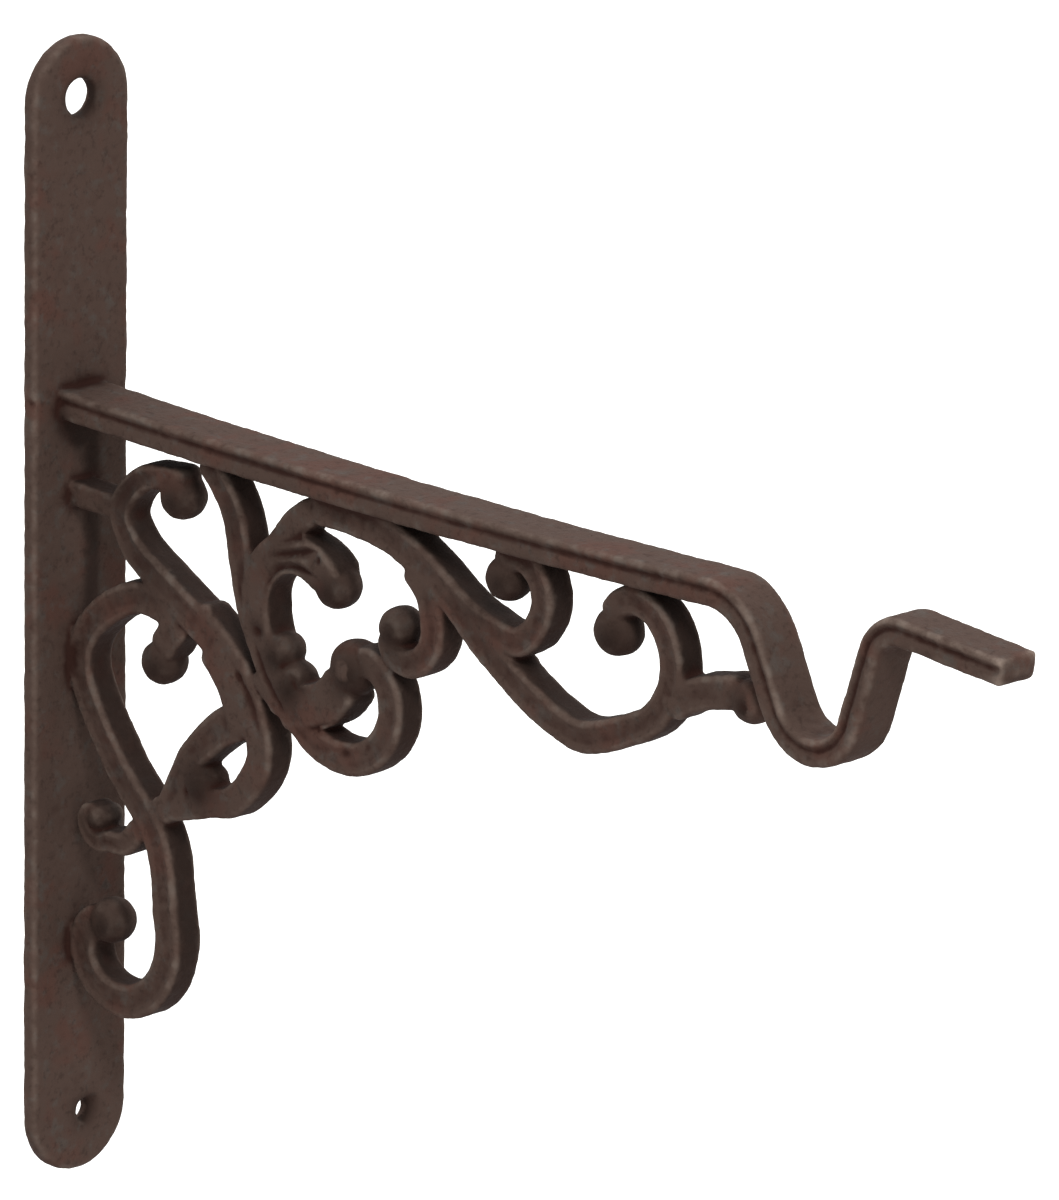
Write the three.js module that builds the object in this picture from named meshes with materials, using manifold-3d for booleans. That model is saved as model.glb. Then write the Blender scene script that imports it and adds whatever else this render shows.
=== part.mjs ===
// Cast-iron hanging basket bracket: a wall strip, a flat arm that ends in a hook, and openwork scrolls.
// Millimetres. X runs out from the wall, Y along the strip's width, Z up.
// The origin is the middle of the strip's back face, where it lies on the wall.
import * as THREE from 'three';
import { mergeVertices } from 'three/addons/utils/BufferGeometryUtils.js';
import Module from 'manifold-3d';

const wasm = await Module();
wasm.setup();

// Wall strip
const stripHeight = 290;
const stripWidth = 31;
const stripThickness = 4.5;
const stripEdge = 1.2;
const endSegments = 16;

// Screw holes: each is set in from its end of the strip
const holeInset = 15;
const topHoleDiameter = 10;
const bottomHoleDiameter = 5.6;
const bottomHoleShift = 1.4;
const bottomHoleSlantDeg = 14;
const holeRim = 1;
const holeSegments = 20;

// Arm: a flat bar, whose underside leaves the strip at this height. It sags a little in the middle and
// ends a little higher.
const armUnderside = 50.7;
const armThickness = 7.2;
const hookThickness = 6.4;
const armWidth = 15.4;
const hookWidth = 12.4;
const armEdge = 1.2;
const armSag = 1.9;
const armRise = 0.5;

// Hook: the arm bends down, turns in a deep dip and rises to a level end
const hookStart = 232.4;
const hookSpan = 42.9;
const hookRise = 4.1;
const hookFallDeg = 64.2;
const hookClimbDeg = 73;
const shoulderRadius = 14.8;
const dipRadius = 12.6;
const heelRadius = 9.1;
const stubLength = 39.3;
const stubDroopDeg = 4.7;

// Scrollwork: it fills the corner between strip and arm, this far out and this far down
const scrollReach = 230;
const scrollDrop = 150;
const scrollWidth = 8;
const scrollDepth = 8.4;
const scrollEdge = 0.9;
const leafDepth = 9.4;
const eyeRadius = 5.6;
const eyeDepth = 8.8;
const eyeDome = 0.8;
const eyeSegments = 14;

// Veins cut in the leaves, on both faces
const veinWidth = 1.5;
const veinCut = 0.9;

// How finely curves are faceted: the most that a line turns or runs between two sections
const facetTurnDeg = 13;
const facetStep = 14;
const curveSamples = 160;

const degrees = Math.PI / 180;

// A place in the scrollwork, in hundredths of its reach out from the strip and of its drop below the arm
const at = (out, down) => new THREE.Vector2(
  stripThickness + (out / 100) * scrollReach,
  armUnderside - (down / 100) * scrollDrop,
);

// The round eyes that scrolls end in. Each radius is a share of the usual one.
const eyes = {
  corner: { centre: at(15.9, 8.8), radius: 1 },
  small: { centre: at(64.1, 5.9), radius: 0.93 },
  ball: { centre: at(80.3, 9.1), radius: 1.06 },
  middle: { centre: at(48.9, 19.3), radius: 0.88 },
  lobe: { centre: at(42.4, 28.2), radius: 1.2 },
  drop: { centre: at(13.2, 37.5), radius: 1 },
  ring: { centre: at(20.9, 55), radius: 0.68 },
  low: { centre: at(3.9, 67.3), radius: 0.57 },
  loop: { centre: at(5.3, 84.8), radius: 1 },
  tail: { centre: at(99.4, 13.8), radius: 0.95 },
  leafTip: { centre: at(39.5, 15.8), radius: 1 },
  upperLeaflet: { centre: at(31.6, 29.2), radius: 0.8 },
  lowerLeaflet: { centre: at(33.5, 33.8), radius: 0.89 },
};

// The scrolls: the points that a centre line runs through, its width at both ends as a share of the usual
// one, and the eye that it winds into, with the turn in degrees and how late in that turn it tightens
const scrolls = [
  {
    through: [at(23.3, 31.5), at(13.8, 23.4), at(9.4, 19), at(7.6, 13.8), at(10.8, 7.3), at(17.5, 5.4)],
    widths: [1.2, 0.7],
  },
  { through: [at(-1, 13), at(8, 13.3)], widths: [0.75, 0.75] },
  {
    through: [at(29.5, 30), at(27.4, 23.3), at(26.1, 15.4), at(25.1, 8.8), at(23.1, 4.1), at(20.1, 0)],
    widths: [1, 0.875],
  },
  {
    through: [at(33.3, 39.5), at(28.9, 25), at(28.9, 18), at(31.6, 13.1), at(35.5, 11.9), at(38.9, 14.2)],
    widths: [1.06, 1.31],
    depth: leafDepth,
  },
  { through: [at(30.2, 15), at(34, 7.3), at(37.6, 3)], widths: [0.95, 0.875] },
  {
    through: [
      at(36.3, 2.7), at(47.6, 4), at(55.9, 9.7), at(63.7, 18.8), at(72.4, 26), at(76.8, 27.3), at(84.3, 23),
    ],
    widths: [1.15, 0.85],
    into: eyes.ball,
    turn: 160,
    ease: 2,
  },
  { through: [at(88.4, 18.3), at(92.2, 15), at(98.6, 12.3)], widths: [1.02, 0.98] },
  {
    through: [at(57.2, 10.3), at(60.2, 13.1), at(66.9, 15.4)],
    widths: [0.9, 0.88],
    into: eyes.small,
    turn: 156,
    ease: 2.6,
  },
  {
    through: [at(29.4, 32), at(31.1, 35.4), at(34.9, 39)],
    widths: [1.12, 0.925],
    into: eyes.lobe,
    turn: 176,
    ease: 2.3,
  },
  { through: [at(32, 38), at(35.9, 37), at(39.3, 35), at(42.1, 30)], widths: [1.38, 1.38], depth: leafDepth },
  {
    through: [at(51.1, 7.5), at(54.2, 12.6), at(54.9, 18)],
    widths: [1, 0.8],
    into: eyes.middle,
    turn: -142,
    ease: 1.2,
  },
  {
    through: [at(18.9, 26.8), at(26.4, 36.1), at(29.2, 48.1), at(25.1, 56.7), at(21.8, 58.3), at(12.6, 62.7)],
    widths: [1.32, 0.75],
  },
  { through: [at(21.1, 31), at(24.9, 37), at(27, 46)], widths: [1.12, 1.12], depth: leafDepth },
  {
    through: [at(13.6, 64), at(15.3, 60.5), at(19.1, 50.9), at(24, 44.4), at(26.8, 42.4)],
    widths: [0.75, 1.25],
  },
  {
    through: [
      at(17.2, 28.5), at(9.8, 27.6), at(2.7, 35.1), at(1.4, 42.1), at(6.5, 55.9), at(13.4, 67.6), at(15, 80.8),
    ],
    widths: [0.98, 1.1],
    into: eyes.loop,
    turn: -192,
    ease: 2.4,
  },
  {
    through: [at(11.1, 65.6), at(8.5, 70), at(5.6, 70.7)],
    widths: [0.8, 0.5],
    into: eyes.low,
    turn: -200,
    ease: 1.5,
  },
  { through: [at(17.4, 28.8), at(15.3, 32.1), at(13.5, 36.1)], widths: [1, 1] },
];

// The veins of the leaves
const veins = [
  [at(30.2, 21), at(32, 15.5), at(36, 12.2)],
  [at(31, 12.5), at(34.3, 9.8), at(37.6, 9.8)],
  [at(31.8, 16.8), at(34.5, 14), at(38.2, 14.2)],
  [at(28.5, 27), at(30.8, 34), at(34.5, 40)],
  [at(25.5, 33), at(28.2, 38.5), at(30, 45)],
];

// Joining and cutting

function solid(geometry) {
  const bare = geometry.clone();
  bare.deleteAttribute('normal');
  bare.deleteAttribute('uv');
  const merged = mergeVertices(bare, 1e-4);
  return new wasm.Manifold(new wasm.Mesh({
    numProp: 3,
    vertProperties: new Float32Array(merged.attributes.position.array),
    triVerts: new Uint32Array(merged.index.array),
  }));
}

function geometryOf(body) {
  const { vertProperties, triVerts } = body.getMesh();
  const geometry = new THREE.BufferGeometry();
  geometry.setAttribute('position', new THREE.BufferAttribute(vertProperties, 3));
  geometry.setIndex(new THREE.BufferAttribute(triVerts, 1));
  return geometry;
}

// Centre lines

// A smooth line through points, in even steps
function smoothLine(points) {
  const curve = new THREE.CatmullRomCurve3(points.map((p) => new THREE.Vector3(p.x, 0, p.y)));
  return curve.getSpacedPoints(curveSamples).map((p) => new THREE.Vector2(p.x, p.z));
}

// The winding end of a scroll: from a start point round an eye, closing in until its outer edge runs
// into the eye's rim
function windingEnd(start, eye, turnDeg, ease, endWidth) {
  const steps = Math.ceil(Math.abs(turnDeg) / 4);
  const away = start.clone().sub(eye.centre);
  const startAngle = away.angle();
  const lastReach = eye.radius * eyeRadius - endWidth / 2;
  const line = [];
  for (let i = 1; i <= steps; i += 1) {
    const share = i / steps;
    const reach = away.length() + (lastReach - away.length()) * share ** ease;
    const angle = startAngle + share * turnDeg * degrees;
    line.push(new THREE.Vector2(Math.cos(angle), Math.sin(angle)).multiplyScalar(reach).add(eye.centre));
  }
  return line;
}

function scrollLine({ through, widths, into, turn, ease }) {
  if (!into) {
    return smoothLine(through);
  }
  const winding = windingEnd(through.at(-1), into, turn, ease, widths[1] * scrollWidth);
  return [...smoothLine([...through, winding[1]]).slice(0, -1), ...winding.slice(1)];
}

// Straight runs between corners, each corner rounded by its own radius
function bentLine(corners, radii) {
  const line = [corners[0]];
  for (let i = 1; i < corners.length - 1; i += 1) {
    const before = corners[i - 1].clone().sub(corners[i]).normalize();
    const after = corners[i + 1].clone().sub(corners[i]).normalize();
    const halfAngle = Math.acos(before.dot(after)) / 2;
    const bisector = before.clone().add(after).normalize();
    const centre = bisector.multiplyScalar(radii[i - 1] / Math.sin(halfAngle)).add(corners[i]);
    const leave = before.clone().multiplyScalar(radii[i - 1] / Math.tan(halfAngle)).add(corners[i]);
    const start = leave.sub(centre);
    const side = Math.sign(before.cross(after));
    const sweep = -side * (Math.PI - 2 * halfAngle);
    const steps = 2 * Math.ceil(Math.abs(sweep) / (2 * facetTurnDeg * degrees)) + 1;
    for (let k = 0; k <= steps; k += 1) {
      line.push(start.clone().rotateAround(new THREE.Vector2(), (k / steps) * sweep).add(centre));
    }
  }
  line.push(corners.at(-1));
  return line;
}

// Leaves out the points that a line doesn't need: it keeps one where the line has turned or run enough
function thinned(line) {
  const kept = [line[0]];
  let heading = line[1].clone().sub(line[0]).angle();
  for (let i = 1; i < line.length - 1; i += 1) {
    const next = line[i + 1].clone().sub(line[i]).angle();
    const turned = Math.abs(Math.atan2(Math.sin(next - heading), Math.cos(next - heading)));
    if (turned > facetTurnDeg * degrees || line[i].distanceTo(kept.at(-1)) > facetStep) {
      kept.push(line[i]);
      heading = next;
    }
  }
  kept.push(line.at(-1));
  return kept;
}

// A bar of flat section with broken edges along a centre line. Its width lies in the plane of the
// scrolls and its depth across it, and both may change evenly from the start to the end.
function bar(line, widths, depths, edge, offset = 0) {
  const positions = [];
  const index = [];
  const lengths = [0];
  for (let i = 1; i < line.length; i += 1) {
    lengths.push(lengths[i - 1] + line[i].distanceTo(line[i - 1]));
  }
  line.forEach((point, i) => {
    const before = line[Math.max(i - 1, 0)];
    const after = line[Math.min(i + 1, line.length - 1)];
    const inward = point.clone().sub(before).normalize();
    const outward = after.clone().sub(point).normalize();
    const along = inward.add(outward).normalize();
    const half = THREE.MathUtils.lerp(widths[0], widths[1], lengths[i] / lengths.at(-1)) / 2;
    const halfDepth = THREE.MathUtils.lerp(depths[0], depths[1], lengths[i] / lengths.at(-1)) / 2;
    const section = [
      [half, halfDepth - edge], [half - edge, halfDepth],
      [edge - half, halfDepth], [-half, halfDepth - edge],
      [-half, edge - halfDepth], [edge - half, -halfDepth],
      [half - edge, -halfDepth], [half, edge - halfDepth],
    ];
    section.forEach(([across, deep]) => {
      positions.push(point.x - along.y * across, deep + offset, point.y + along.x * across);
    });
  });
  const sides = 8;
  for (let i = 0; i < line.length - 1; i += 1) {
    for (let k = 0; k < sides; k += 1) {
      const a = i * sides + k;
      const b = i * sides + ((k + 1) % sides);
      index.push(a, a + sides, b, b, a + sides, b + sides);
    }
  }
  const last = (line.length - 1) * sides;
  for (let k = 1; k < sides - 1; k += 1) {
    index.push(0, k, k + 1, last, last + k + 1, last + k);
  }
  const geometry = new THREE.BufferGeometry();
  geometry.setAttribute('position', new THREE.Float32BufferAttribute(positions, 3));
  geometry.setIndex(index);
  return geometry;
}

// Sub-parts

function holeCutter(diameter, height, shift, slantDeg) {
  const radius = diameter / 2;
  const beyond = 1;
  const front = stripThickness + beyond;
  const profile = [
    [0, -beyond], [radius + holeRim + beyond, -beyond], [radius, holeRim],
    [radius, stripThickness - holeRim], [radius + holeRim + beyond, front], [0, front],
  ].map(([r, y]) => new THREE.Vector2(r, y));
  const cutter = new THREE.LatheGeometry(profile, holeSegments);
  cutter.translate(0, -stripThickness / 2, 0);
  cutter.rotateZ(-Math.PI / 2);
  cutter.rotateZ(slantDeg * degrees);
  cutter.translate(stripThickness / 2, shift, height);
  return solid(cutter);
}

function wallStrip() {
  const half = stripWidth / 2;
  const straight = stripHeight / 2 - half;
  const outline = new THREE.Shape();
  outline.absarc(0, straight, half, 0, Math.PI);
  outline.absarc(0, -straight, half, Math.PI, 2 * Math.PI);
  const body = new THREE.ExtrudeGeometry(outline, {
    depth: stripThickness - 2 * stripEdge,
    bevelThickness: stripEdge,
    bevelSize: stripEdge,
    bevelOffset: -stripEdge,
    bevelSegments: 1,
    curveSegments: endSegments,
  });
  body.translate(0, 0, stripEdge);
  body.rotateX(Math.PI / 2);
  body.rotateZ(Math.PI / 2);
  const holeHeight = stripHeight / 2 - holeInset;
  return solid(body)
    .subtract(holeCutter(topHoleDiameter, holeHeight, 0, 0))
    .subtract(holeCutter(bottomHoleDiameter, -holeHeight, bottomHoleShift, bottomHoleSlantDeg));
}

function armWithHook() {
  const height = armUnderside + armThickness / 2;
  const root = new THREE.Vector2(stripThickness / 2, height);
  const shoulder = new THREE.Vector2(hookStart, height + armRise);
  const heel = new THREE.Vector2(hookStart + hookSpan, shoulder.y + hookRise);
  const fall = Math.tan(hookFallDeg * degrees);
  const climb = Math.tan(hookClimbDeg * degrees);
  const dipX = (shoulder.y - heel.y + fall * shoulder.x + climb * heel.x) / (fall + climb);
  const dip = new THREE.Vector2(dipX, shoulder.y - fall * (dipX - shoulder.x));
  const droop = -stubDroopDeg * degrees;
  const end = new THREE.Vector2(Math.cos(droop), Math.sin(droop)).multiplyScalar(stubLength).add(heel);
  const hook = bentLine([root, shoulder, dip, heel, end], [shoulderRadius, dipRadius, heelRadius]);
  const bendStart = hook[1].x;
  const spanSteps = 10;
  const arm = [];
  for (let i = 0; i < spanSteps; i += 1) {
    const x = root.x + (i / spanSteps) * (bendStart - root.x);
    const share = (x - root.x) / (bendStart - root.x);
    arm.push(new THREE.Vector2(x, height + armRise * share - armSag * 4 * share * (1 - share)));
  }
  const line = [...arm, ...hook.slice(1)];
  return solid(bar(line, [armThickness, hookThickness], [armWidth, hookWidth], armEdge));
}

function eyeBoss(eye) {
  const half = eyeDepth / 2;
  const radius = eye.radius * eyeRadius;
  const profile = [
    [0, -half - eyeDome], [radius * 0.6, -half - eyeDome / 2],
    [radius - scrollEdge / 2, scrollEdge / 2 - half], [radius, scrollEdge * 1.5 - half],
    [radius, half - scrollEdge * 1.5], [radius - scrollEdge / 2, half - scrollEdge / 2],
    [radius * 0.6, half + eyeDome / 2], [0, half + eyeDome],
  ].map(([r, y]) => new THREE.Vector2(r, y));
  const boss = new THREE.LatheGeometry(profile, eyeSegments);
  boss.translate(eye.centre.x, 0, eye.centre.y);
  return solid(boss);
}

function scrollBar(scroll) {
  const line = thinned(scrollLine(scroll));
  const widths = scroll.widths.map((share) => share * scrollWidth);
  const depth = scroll.depth ?? scrollDepth;
  return solid(bar(line, widths, [depth, depth], scrollEdge));
}

function veinCutters() {
  const edge = veinWidth / 4;
  return veins.flatMap((points) => [-1, 1].map((side) => {
    const line = thinned(smoothLine(points));
    return solid(bar(line, [veinWidth, veinWidth], [2 * veinCut, 2 * veinCut], edge, side * leafDepth / 2));
  }));
}

function castBracket() {
  let body = wallStrip().add(armWithHook());
  scrolls.forEach((scroll) => {
    body = body.add(scrollBar(scroll));
  });
  Object.values(eyes).forEach((eye) => {
    body = body.add(eyeBoss(eye));
  });
  veinCutters().forEach((cutter) => {
    body = body.subtract(cutter);
  });
  return body;
}

const castIron = new THREE.MeshStandardMaterial({ color: 0x4a3a33, roughness: 0.8, metalness: 0.35 });
castIron.name = 'rusted_cast_iron';

const bracket = new THREE.Mesh(geometryOf(castBracket()), castIron);
bracket.name = 'cast_bracket';

const part = new THREE.Group();
part.add(bracket);

export default part;
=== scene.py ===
import logging
import math
from dataclasses import dataclass, field
from enum import Enum

import bmesh
import bpy
import numpy as np
from mathutils import Matrix, Vector, noise


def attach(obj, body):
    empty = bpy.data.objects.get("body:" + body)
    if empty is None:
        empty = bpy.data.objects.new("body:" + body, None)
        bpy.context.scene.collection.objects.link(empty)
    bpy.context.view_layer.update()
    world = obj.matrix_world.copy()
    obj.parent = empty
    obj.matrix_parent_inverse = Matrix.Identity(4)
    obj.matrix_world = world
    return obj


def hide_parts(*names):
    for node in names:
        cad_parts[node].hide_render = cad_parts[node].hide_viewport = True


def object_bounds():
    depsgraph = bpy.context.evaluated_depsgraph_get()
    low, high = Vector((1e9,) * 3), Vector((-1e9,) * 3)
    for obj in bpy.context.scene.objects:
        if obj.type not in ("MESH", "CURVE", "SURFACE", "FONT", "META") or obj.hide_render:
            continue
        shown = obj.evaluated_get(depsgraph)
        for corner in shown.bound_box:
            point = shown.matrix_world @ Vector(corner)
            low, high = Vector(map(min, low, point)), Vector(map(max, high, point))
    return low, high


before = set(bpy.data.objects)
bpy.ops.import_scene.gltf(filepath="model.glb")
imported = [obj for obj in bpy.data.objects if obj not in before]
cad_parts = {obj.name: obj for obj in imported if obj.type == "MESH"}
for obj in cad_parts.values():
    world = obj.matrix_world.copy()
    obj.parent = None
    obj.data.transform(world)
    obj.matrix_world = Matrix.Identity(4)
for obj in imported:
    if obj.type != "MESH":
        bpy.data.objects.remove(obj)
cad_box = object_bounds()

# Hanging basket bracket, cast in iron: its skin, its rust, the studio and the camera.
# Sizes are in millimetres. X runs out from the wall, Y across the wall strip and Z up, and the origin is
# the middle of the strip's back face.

MM = 0.001
log = logging.getLogger("bracket")


class Paint(Enum):
    """The values that the skin carries from point to point for its finish to read: worn edges, and painted
    shade.
    """

    EDGE = "worn_edge"
    # The last three are painted shade: in hollows, on faces turned down, and on the scrolls and the strip
    # beside them, with dark rims round the strip's holes.
    SHADED_HOLLOW = "painted_hollow_shade"
    SHADED_UNDERSIDE = "painted_underside_shade"
    SHADE_AND_DARK_MARKS = "dark_marks_and_painted_shade"


class Run(Enum):
    """How a scroll's line ends."""

    PLAIN = "plain"
    WOUND = "wound round an eye"


class Face(Enum):
    """How a scroll's face is cast."""

    CHANNEL = "a shallow channel between two rims"
    SMOOTH = "smooth"


# Helpers for lines and shells


@dataclass
class Shell:
    """One closed surface: its points in millimetres and its faces as lists of point numbers."""

    points: np.ndarray
    faces: list[list[int]]

    def moved(self, matrix: Matrix) -> "Shell":
        """Gives the shell turned and shifted by a matrix in millimetres."""
        placed = [matrix @ Vector(point) for point in self.points]
        return Shell(np.array([point[:] for point in placed]), self.faces)


def stacked(rings: np.ndarray) -> Shell:
    """Skins a row of closed rings and closes both ends.

    Args:
        rings: points as an array of rings by points by three.

    Returns:
        The closed shell.
    """
    count, sides = rings.shape[:2]
    faces = []
    for ring in range(count - 1):
        for side in range(sides):
            after = (side + 1) % sides
            low, high = ring * sides, (ring + 1) * sides
            faces.append([low + side, low + after, high + after, high + side])
    faces.append(list(range(sides))[::-1])
    faces.append(list(range((count - 1) * sides, count * sides)))
    return Shell(rings.reshape(-1, 3), faces)


def turned(profile: list[tuple[float, float]], segments: int) -> Shell:
    """Turns a profile round the Y axis.

    Args:
        profile: radius and place along Y, from one end to the other.
        segments: points in each ring.

    Returns:
        The closed shell.
    """
    angles = np.linspace(0, 2 * math.pi, segments, endpoint=False)
    rings = [
        np.stack([radius * np.cos(angles), np.full(segments, along), radius * np.sin(angles)], axis=1)
        for radius, along in profile
    ]
    return stacked(np.array(rings))


def even_steps(line: np.ndarray, step: float) -> np.ndarray:
    """Spaces the points of a line evenly along it.

    Args:
        line: points as rows of x and z.
        step: the wanted distance between points.

    Returns:
        The same line with even steps.
    """
    gaps = np.linalg.norm(np.diff(line, axis=0), axis=1)
    run = np.concatenate([[0.0], np.cumsum(gaps)])
    places = np.linspace(0, run[-1], max(2, math.ceil(run[-1] / step) + 1))
    return np.stack([np.interp(places, run, line[:, 0]), np.interp(places, run, line[:, 1])], axis=1)


def smooth_line(points: np.ndarray, steps: int = 24) -> np.ndarray:
    """Draws a smooth line through points, easing over long gaps as a bent strip does.

    Args:
        points: rows of x and z that the line runs through.
        steps: points drawn between each two.

    Returns:
        The line's points.
    """
    ends = np.vstack([2 * points[0] - points[1], points, 2 * points[-1] - points[-2]])
    share = np.linspace(0, 1, steps, endpoint=False)[:, None]
    line = []
    for a, b, c, d in zip(ends, ends[1:], ends[2:], ends[3:]):
        before, middle, after = (math.sqrt(np.linalg.norm(q - p)) for p, q in ((a, b), (b, c), (c, d)))
        leave = ((b - a) / before - (c - a) / (before + middle) + (c - b) / middle) * middle
        arrive = ((c - b) / middle - (d - b) / (middle + after) + (d - c) / after) * middle
        bend = -3 * b + 3 * c - 2 * leave - arrive
        twist = 2 * b - 2 * c + leave + arrive
        line.append(b + leave * share + bend * share**2 + twist * share**3)
    return np.vstack([*line, points[-1:]])


def bar(
    line: np.ndarray, widths: tuple[float, float], depths: tuple[float, float], edge: float, end_radius: float
) -> Shell:
    """Sweeps a flat section with rounded edges along a line.

    Args:
        line: points as rows of x and z.
        widths: the section's size in the plane of the line, at the start and the end.
        depths: its size across that plane, at the start and the end.
        edge: the radius of its edges.
        end_radius: how far from each end the section starts to close in.

    Returns:
        The closed shell.
    """
    corner_steps = 4
    smallest = 0.25
    share = np.linspace(0, 1, len(line))[:, None]
    length = np.linalg.norm(np.diff(line, axis=0), axis=1).sum()
    to_end = np.clip(np.minimum(share, 1 - share) * length / end_radius, 0, 1)
    closing = smallest + (1 - smallest) * np.sqrt(1 - (1 - to_end) ** 2)
    half_width = (widths[0] + (widths[1] - widths[0]) * share) / 2 * closing
    half_depth = (depths[0] + (depths[1] - depths[0]) * share) / 2 * closing
    edge = edge * closing
    corners = np.repeat(np.arange(4), corner_steps)
    angles = math.pi / 2 * (corners + np.tile(np.linspace(0, 1, corner_steps), 4))
    side = np.where((corners == 0) | (corners == 3), 1, -1)
    face = np.where(corners < 2, 1, -1)
    across = side * (half_width - edge) + edge * np.cos(angles)
    deep = face * (half_depth - edge) + edge * np.sin(angles)
    along = np.gradient(line, axis=0)
    along /= np.linalg.norm(along, axis=1)[:, None]
    rings = np.stack(
        [line[:, :1] - along[:, 1:] * across, deep, line[:, 1:] + along[:, :1] * across],
        axis=2,
    )
    return stacked(rings)


def mesh_object(name: str, shells: list[Shell]) -> bpy.types.Object:
    """Puts shells into one Blender object, with their faces turned outward.

    Args:
        name: the object's name.
        shells: the closed shells.

    Returns:
        The linked object, in metres.
    """
    points, faces, count = [], [], 0
    for shell in shells:
        points.append(shell.points * MM)
        faces.extend([[number + count for number in one] for one in shell.faces])
        count += len(shell.points)
    mesh = bpy.data.meshes.new(name)
    mesh.from_pydata(np.vstack(points).tolist(), [], faces)
    editing = bmesh.new()
    editing.from_mesh(mesh)
    bmesh.ops.recalc_face_normals(editing, faces=editing.faces)
    editing.to_mesh(mesh)
    editing.free()
    made = bpy.data.objects.new(name, mesh)
    bpy.context.collection.objects.link(made)
    return made


def settled(source: bpy.types.Object) -> None:
    """Applies an object's modifiers to its mesh.

    Args:
        source: the object, which keeps no modifiers.
    """
    graph = bpy.context.evaluated_depsgraph_get()
    result = bpy.data.meshes.new_from_object(source.evaluated_get(graph))
    source.modifiers.clear()
    source.data = result


def linear(colour: str) -> tuple[float, float, float, float]:
    """Turns an sRGB hex colour into linear values.

    Args:
        colour: the colour as "#rrggbb".

    Returns:
        Red, green, blue and full opacity, linear.
    """
    parts = [int(colour[start:start + 2], 16) / 255 for start in (1, 3, 5)]
    # The numbers are those of the sRGB curve.
    shades = [part / 12.92 if part <= 0.04045 else ((part + 0.055) / 1.055) ** 2.4 for part in parts]
    return (*shades, 1.0)


def add_node(
    tree: bpy.types.NodeTree,
    kind: str,
    settings: dict[str, object] | None = None,
    inputs: dict[str | int, object] | None = None,
) -> bpy.types.Node:
    """Adds a shader node with its settings and links.

    Args:
        tree: the material's node tree.
        kind: the node's type name.
        settings: the node's own properties by name.
        inputs: what each input takes, by name or number: another node's output or a plain value.

    Returns:
        The new node.
    """
    made = tree.nodes.new(kind)
    for name, value in (settings or {}).items():
        setattr(made, name, value)
    for name, value in (inputs or {}).items():
        if isinstance(value, bpy.types.NodeSocket):
            tree.links.new(value, made.inputs[name])
        else:
            made.inputs[name].default_value = value
    return made


class Cut(Enum):
    """The section of a groove."""

    VEIN = "pointed"
    CHANNEL = "flat with raised rims"


@dataclass
class Groove:
    """A groove along a line in the plane of the scrolls: half its width and its depth at each point."""

    line: np.ndarray
    half_widths: np.ndarray
    depths: np.ndarray
    cut: Cut
    # In half widths: where the cut has run out, the reach of a channel's flat floor, and that of its side.
    run_out: float = 3.0
    floor: float = 0.2
    wall: float = 0.45

    def cut_into(self, points: np.ndarray) -> np.ndarray:
        """Works out how deep the groove lies at each point.

        Args:
            points: points as rows of x, y and z.

        Returns:
            Depths, and zero away from the groove.
        """
        reach = self.half_widths.max() * self.run_out
        low, high = self.line.min(axis=0) - reach, self.line.max(axis=0) + reach
        flat = points[:, [0, 2]]
        inside = np.flatnonzero(np.all((flat > low) & (flat < high), axis=1))
        near = flat[inside]
        deepest = np.zeros(len(inside))
        for spot, half, depth in zip(self.line, self.half_widths, self.depths):
            away = np.hypot(*(near - spot).T) / half
            if self.cut is Cut.VEIN:
                share = np.exp(-(away**2))
            else:
                share = 1 - np.clip((away - self.floor) / self.wall, 0, 1) ** 2
            np.maximum(deepest, share * depth, out=deepest)
        cut = np.zeros(len(points))
        cut[inside] = deepest
        return cut


# The finish

# The Mix node repeats its sockets' names for values, vectors and colours. These are the colours' numbers.
MIX_SHARE = 0
MIX_UNDER = 6
MIX_OVER = 7
MIX_RESULT = 2


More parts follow.
